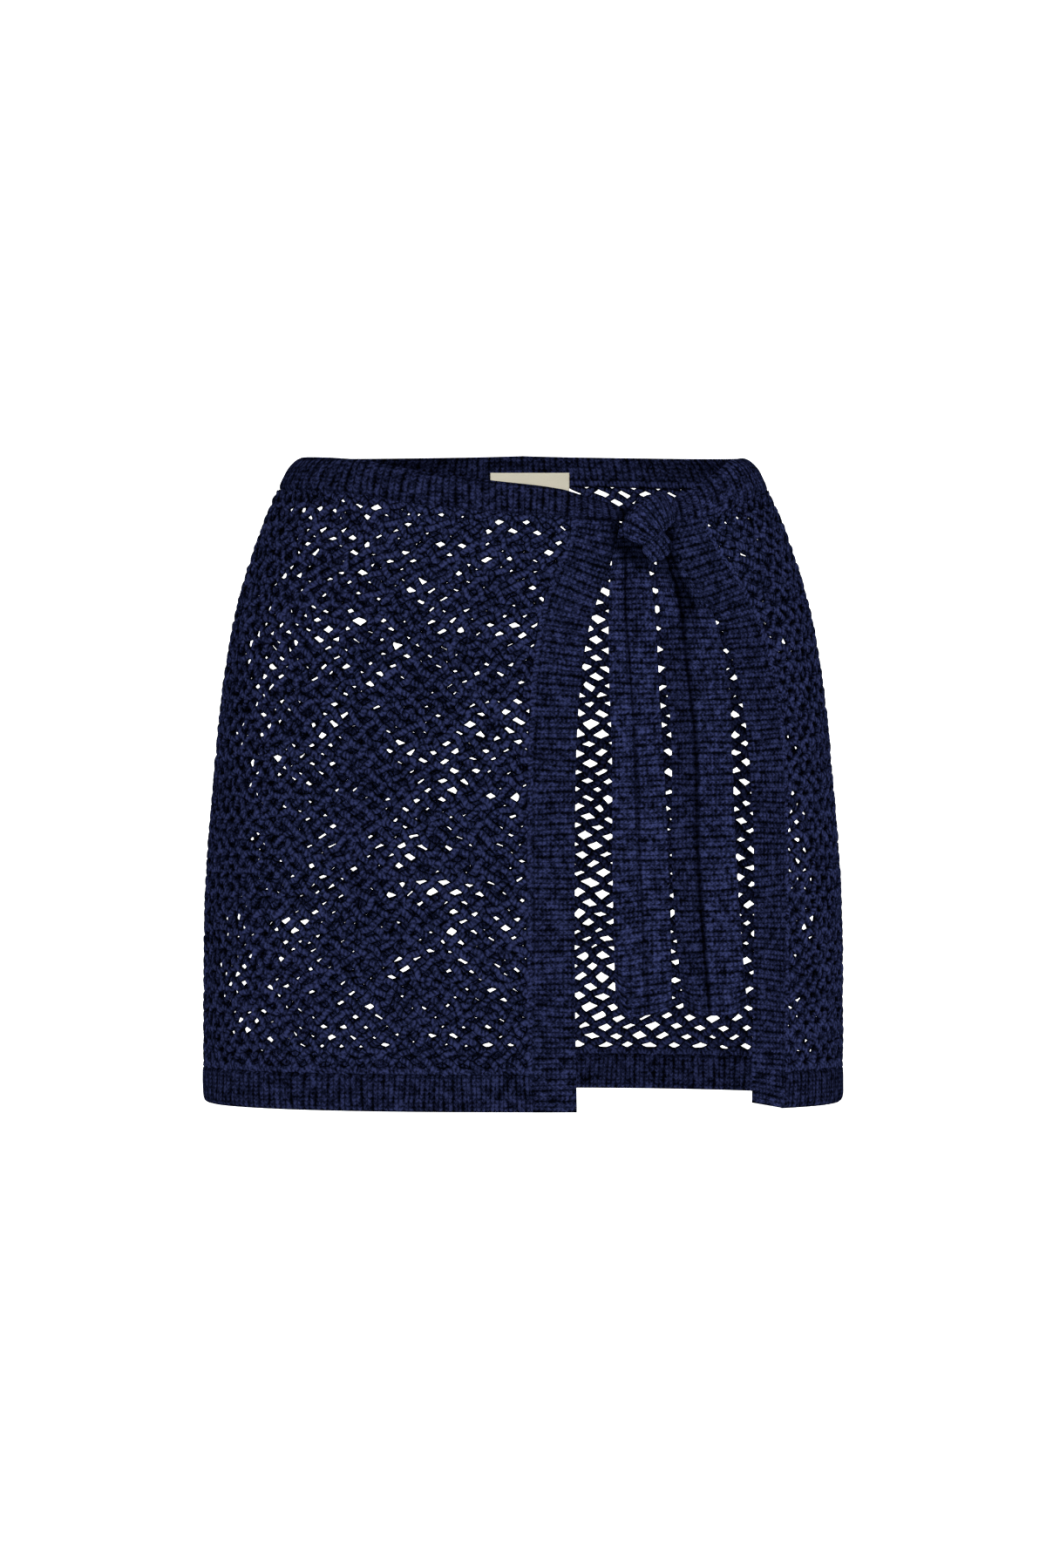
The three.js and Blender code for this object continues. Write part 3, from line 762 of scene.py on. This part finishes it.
def strand_yarn(name, painted_brightness):
    """Net strand: plies that wind round it, two to a turn, and painted shade at its two sides."""
    finish = Finish(name)
    turn, gone = finish.uv()
    plies = ((turn * 2 + gone) * (2 * math.pi)).sine() * 0.5 + 0.5
    # Painted light by facing: bright where the strand faces out or in, dark on its two sides.
    crest = (turn * (2 * math.pi)).sine().size()
    return yarn(finish, crest * (plies * 0.6 + 0.5), painted_brightness)


def label_tape(name):
    """Bare woven tape: fine crossed threads in cream."""
    finish = Finish(name)
    across, along = finish.uv()
    threads = (across * 2 * math.pi).sine() * (along * 2 * math.pi).sine() * 0.5 + 0.5
    colour = finish.blend(threads, rgba(0.4, 0.375, 0.295), rgba(0.53, 0.5, 0.4))
    finish.set(Base_Color=colour, Roughness=0.7, Normal=finish.bump(threads, 0.0002, 0.6))
    return finish.material


def dress(piece, material, slot, *nodes):
    """A piece takes its material, rides on the one body and stands for its CAD nodes; its slot is not used.
    """
    piece.data.materials.append(material)
    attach(piece, "root")
    if nodes:
        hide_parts(*nodes)
    return piece


def declare(chart, rests_on):
    width, length, area = flat_cut(chart)


def edges(side):
    """Left and right edges that a panel and its hem band share, as angles by height."""
    return {
        "front_left": (upright_edge(-SIDE), band_edge(LEFT_BAND, "left")),
        "back": (upright_edge(SIDE), upright_edge(3 * SIDE)),
        "front_right": (band_edge(RIGHT_BAND, "right"), upright_edge(SIDE)),
    }[side]


# Navy yarn's tints: dark, deep and light. The dark one gives painted shade in the knit's low parts and the
# light one a painted highlight on its crests, with uneven dye and fuzz moving the tone between them.
NAVY = [(0.0006, 0.0008, 0.002), (0.006, 0.0079, 0.0242), (0.02, 0.0254, 0.0762)]
add_camera()
# Lit and shaded copies of one navy yarn: each brightness is painted light or shade for that piece.
rib_material = rib_yarn("ribbed navy yarn", 0.61)
band_material = rib_yarn("ribbed navy front band", 0.72)
tie_material = rib_yarn("ribbed navy tie", 0.9)
right_waist_material = rib_yarn("ribbed navy right waistband", 0.86)


def inside_shade(u, v):
    """Painted shade of the back waistband's inner face: paler all over, and darker in a straight rise towards
    the left end, as painted shadow where the front lies close before it."""
    ADDED_SHADE, SHADE_FROM, SHADE_OVER = 0.8, 0.53, 0.14
    return INNER_FACE + ADDED_SHADE * np.clip((u - SHADE_FROM) / SHADE_OVER, 0, 1) + 0 * v


def rolled_edge(top, bottom):
    """How far a band leans in towards its top and bottom edges, growing by the square over a part of its
    height."""
    TOP_PART, BOTTOM_PART = 0.45, 0.3

    def dip(u, v):
        near_top = np.clip(1 - v / TOP_PART, 0, 1)
        near_bottom = np.clip(1 - (1 - v) / BOTTOM_PART, 0, 1)
        return top * near_top**2 + bottom * near_bottom**2

    return dip


# Waistband, net and hem band of each side. A net's pitch is in millimetres a hole, its shear in holes a
# row, and its strands' fatness is that at its top and at its foot. The top cord's inset is a share of half
# a cord. KNOT_GAP, in degrees, parts the two fronts of the waistband under the knot.
NET_KNIT = {
    "front_left": {"from_right": True, "pitch": 12, "shear": 0.03, "fatness": (0.96, 1.02)},
    "back": {"from_right": False, "pitch": 14.8, "shear": 0.054, "fatness": (0.97, 0.98)},
    "front_right": {"from_right": False, "pitch": 12, "shear": 0, "fatness": (0.98, 1.14)},
}
NET_UNEVEN = {
    "front_left": {"tighter": 0, "loose_rows": 0.05, "uneven_by": 1.6, "seed": 100},
    "back": {"tighter": 0.14, "loose_rows": 0.26, "uneven_by": 1, "seed": 40},
    "front_right": {"tighter": 0, "loose_rows": 0.15, "uneven_by": 1.3, "seed": 110},
}
# Painted light and shade: the same net yarn, brighter or darker on each side.
NET_PAINTED_BRIGHTNESS = {"front_left": 0.73, "back": 0.9, "front_right": 0.86}
TOP_CORD = {"front_left": 0.3, "back": -0.4, "front_right": 0.3}
WAIST_ROLL, HEM_ROLL = (3.2, 1.5), (0, 1.2)
KNOT_GAP = 0.1
WAIST_YARN = {"front_left": rib_material, "back": rib_material, "front_right": right_waist_material}
INSIDE = {"back": inside_shade}
waist_ends = {
    "front_left": (upright_edge(-SIDE), upright_edge(KNOT_ANGLE - KNOT_GAP)),
    "back": edges("back"),
    "front_right": (upright_edge(KNOT_ANGLE + KNOT_GAP), upright_edge(SIDE)),
}
for side in ("front_left", "back", "front_right"):
    hem_chart = panel(*edges(side), level(HEM_DOWN - HEM_HEIGHT), level(HEM_DOWN))
    band_chart = panel(*waist_ends[side], waistband_top, waistband_bottom)
    net_chart = panel(*edges(side), waistband_bottom, level(HEM_DOWN - HEM_HEIGHT))
    roll, pitch = rolled_edge(*WAIST_ROLL), RIB_PITCH["waistband"]
    waistband = ribbed("knit_waistband_" + side, band_chart, pitch, True, dip=roll, inside=INSIDE.get(side))
    dress(waistband, WAIST_YARN[side], "rib_knit", "waistband_" + side)
    hem = ribbed("knit_hem_" + side, hem_chart, RIB_PITCH["hem"], True, dip=rolled_edge(*HEM_ROLL))
    dress(hem, rib_material, "rib_knit", "hem_" + side)
    declare(band_chart, [])
    declare(hem_chart, ["net_" + side])
    knit = NET_KNIT[side] | NET_UNEVEN[side]
    falling, rising = (net_strands(net_chart, lean, **knit) for lean in (1, -1))
    strands = {"falling": falling + edge_cords(net_chart, TOP_CORD[side]), "rising": rising}
    net_material = strand_yarn("navy net strands " + side, NET_PAINTED_BRIGHTNESS[side])
    for family, parts in strands.items():
        piece = add_mesh(f"net_{family}_strands_{side}", *join(parts))
        dress(piece, net_material, "net_knit", "net_" + side)
        declare(net_chart, [waistband])

# Front bands.
for side, rows in (("left", LEFT_BAND), ("right", RIGHT_BAND)):
    chart = strip(rows, under_waistband=True, overlap=1)
    band = ribbed("knit_band_" + side, chart, RIB_PITCH["band"], False)
    dress(band, band_material, "rib_knit", "band_" + side)
    declare(chart, ["waistband_front_" + side])


def tie_end(rows, foot, crease):
    """Chart, lift, crease and painted shade of a free end of the tie. Its corners are drawn up by the square
    of the nearness to the side, and its crease is a bell curve, steep on one side, with a raised edge beyond
    the steep side. The painted shade is a narrow bell along the crease and a wide one beside it at the top."""
    RAISED_AT, RAISED_WIDTH, RAISED_PART = 0.12, 0.08, 0.35
    LINE_WIDTH, LINE_SHADE, FULL_CREASE = 0.03, 1.1, 2.4
    BELOW_AT, BELOW_WIDTH, BESIDE_WIDTH, TOP_PART = 0.14, 0.16, 0.06, 0.1
    flat = strip(rows)

    def chart(u, v):
        angle, down = flat(u, v)
        left = foot["left"] * np.clip(1 - u / foot["left_part"], 0, 1) ** 2
        right = foot["right"] * np.clip(1 - (1 - u) / foot["right_part"], 0, 1) ** 2
        near_end = np.clip((v - CORNERS_FROM) / (1 - CORNERS_FROM), 0, 1)
        return angle, down - (left + right) * near_end

    def lift(u, v):
        return row_at(rows, v)["lift"] + RIB_INSIDE

    def dip(u, v):
        row = row_at(rows, v)
        across = u - row["crease_at"]
        bell = np.exp(-((across / np.where(across < 0, crease["left"], crease["right"])) ** 2))
        steep_side = -1 if crease["left"] < crease["right"] else 1
        raised = np.exp(-(((across - steep_side * RAISED_AT) / RAISED_WIDTH) ** 2))
        return row["crease"] * (bell - RAISED_PART * raised)

    # Painted shade along the crease and beside it, where the cloth lies in shadow.
    def shade(u, v):
        row = row_at(rows, v)
        across = u - row["crease_at"]
        line = LINE_SHADE * np.exp(-((across / LINE_WIDTH) ** 2)) * np.clip(row["crease"] / FULL_CREASE, 0, 1)
        below = np.exp(-((across - BELOW_AT) / BELOW_WIDTH) ** 2) * np.clip(2.4 - v / TOP_PART, 0, 1)
        beside = np.clip(-across / BESIDE_WIDTH, 0, 1) * np.clip(v / TOP_PART - 1.6, 0, 1) * (1 - 0.4 * v)
        return np.clip(line + crease["painted_shade_top"] * below + crease["painted_shade_foot"] * beside, 0, 1)

    return chart, lift, dip, shade


tie_ends = {
    "left": (LEFT_TAIL, LEFT_TAIL_FOOT, LEFT_TAIL_CREASE),
    "right": (RIGHT_TAIL, RIGHT_TAIL_FOOT, RIGHT_TAIL_CREASE),
}
for side, tables in tie_ends.items():
    chart, lift, dip, shade = tie_end(*tables)
    tail = ribbed("knit_tie_" + side, chart, RIB_PITCH["tie"], False, lift, dip, shade, step=0.7)
    dress(tail, tie_material, "tie_knit", "tie_" + side)
    declare(chart, ["knot_turn"])

# The knot. Its flat cuts are those of the cloth that shows, in metres.
TURN_CUT, LOOP_CUT = (0.036, 0.045), (0.018, 0.02)
for name, rows, cut in (("turn", KNOT_TURN, TURN_CUT), ("loop", KNOT_LOOP, LOOP_CUT)):
    piece = add_fold("knit_knot_" + name, rows)
    dress(piece, tie_material, "tie_knit", "knot_" + name)


def label_chart():
    """Chart of the label on the inside of the back waistband, between two x and two heights."""

    def right(down):
        return 360 + angle_of(LABEL["right_x"], down, False)

    def left(down):
        return angle_of(LABEL["left_x"], down, False)

    return panel(left, right, level(LABEL["top"]), level(LABEL["bottom"]))


# The label's wall, with a slight ripple.
RIPPLE = 0.25
chart = label_chart()
u, v = np.meshgrid(np.linspace(0, 1, 61), np.linspace(0, 1, 21))
angle, down = chart(u, v)
out = RIPPLE * np.sin(u * 9 + v * 2) - LABEL["inside"]
faces = [form_point(angle, down, out - deep) for deep in (0, LABEL["thickness"])]
label_size = np.array(sizes(chart)) / MM / LABEL_THREAD
label = wall("bare_label", *faces, np.stack([u * label_size[0], v * label_size[1]], -1))
dress(label, label_tape("cream label tape"), "label_tape", "label")
declare(chart, ["waistband_back"])


# Room, in metres: a pale floor that runs up into a backdrop, and soft lights.
FLOOR_DOWN, FLOOR_FRONT, ROOM_HALF = 0.72, -6.0, 8.0
WALL_AWAY, WALL_UP, SWEEP = 4.6, 8.0, 1.2
SKY = 0.55


def add_room():
    """Floor and wall as one strip, its profile a level line, a quarter circle and an upright one."""
    turn = np.linspace(0, math.pi / 2, 17)
    arc_y = WALL_AWAY - SWEEP + SWEEP * np.sin(turn)
    arc_z = -FLOOR_DOWN + SWEEP - SWEEP * np.cos(turn)
    y = np.concatenate([[FLOOR_FRONT], arc_y, [WALL_AWAY]])
    z = np.concatenate([[-FLOOR_DOWN], arc_z, [WALL_UP]])
    x = np.array([-ROOM_HALF, ROOM_HALF])
    points = np.stack([np.tile(x, len(y)), np.repeat(y, 2), np.repeat(z, 2)], -1)
    quads = grid_quads(len(y), 2)[:, ::-1]
    mesh = bpy.data.meshes.new("room")
    mesh.from_pydata(points.tolist(), [], quads.tolist())
    mesh.polygons.foreach_set("use_smooth", np.ones(len(quads), bool))
    room = bpy.data.objects.new("room", mesh)
    finish = Finish("pale paper")
    grain = finish.noise(40, 3)
    colour = finish.blend(grain, rgba(0.93, 0.93, 0.93), rgba(0.95, 0.95, 0.95))
    finish.set(Base_Color=colour, Roughness=0.9, Emission_Color=rgba(1, 1, 1), Emission_Strength=0.85)
    mesh.materials.append(finish.material)
    bpy.context.scene.collection.objects.link(room)


def add_light(name, size, place, power):
    """Square soft light of this size in metres, aimed at the middle of the skirt."""
    data = bpy.data.lights.new(name, "AREA")
    data.size, data.energy = size, power
    light = bpy.data.objects.new(name, data)
    x, y, z = place
    light.location = place
    aim = np.array([0, 0, -CAMERA_DOWN * MM]) - np.array(place)
    tilt = math.acos(-aim[2] / np.linalg.norm(aim))
    light.rotation_euler = (tilt, 0, math.atan2(aim[0], -aim[1]) + math.pi)
    bpy.context.scene.collection.objects.link(light)


add_room()
add_light("key", 1.6, (-1.0, -2.9, 1.3), 85)
add_light("fill", 2.0, (1.3, -2.8, 0.3), 61)
world = bpy.data.worlds.new("studio")
world.use_nodes = True
world.node_tree.nodes["Background"].inputs["Color"].default_value = rgba(1, 1, 1)
world.node_tree.nodes["Background"].inputs["Strength"].default_value = SKY
bpy.context.scene.world = world
bpy.context.scene.view_settings.view_transform = "Standard"
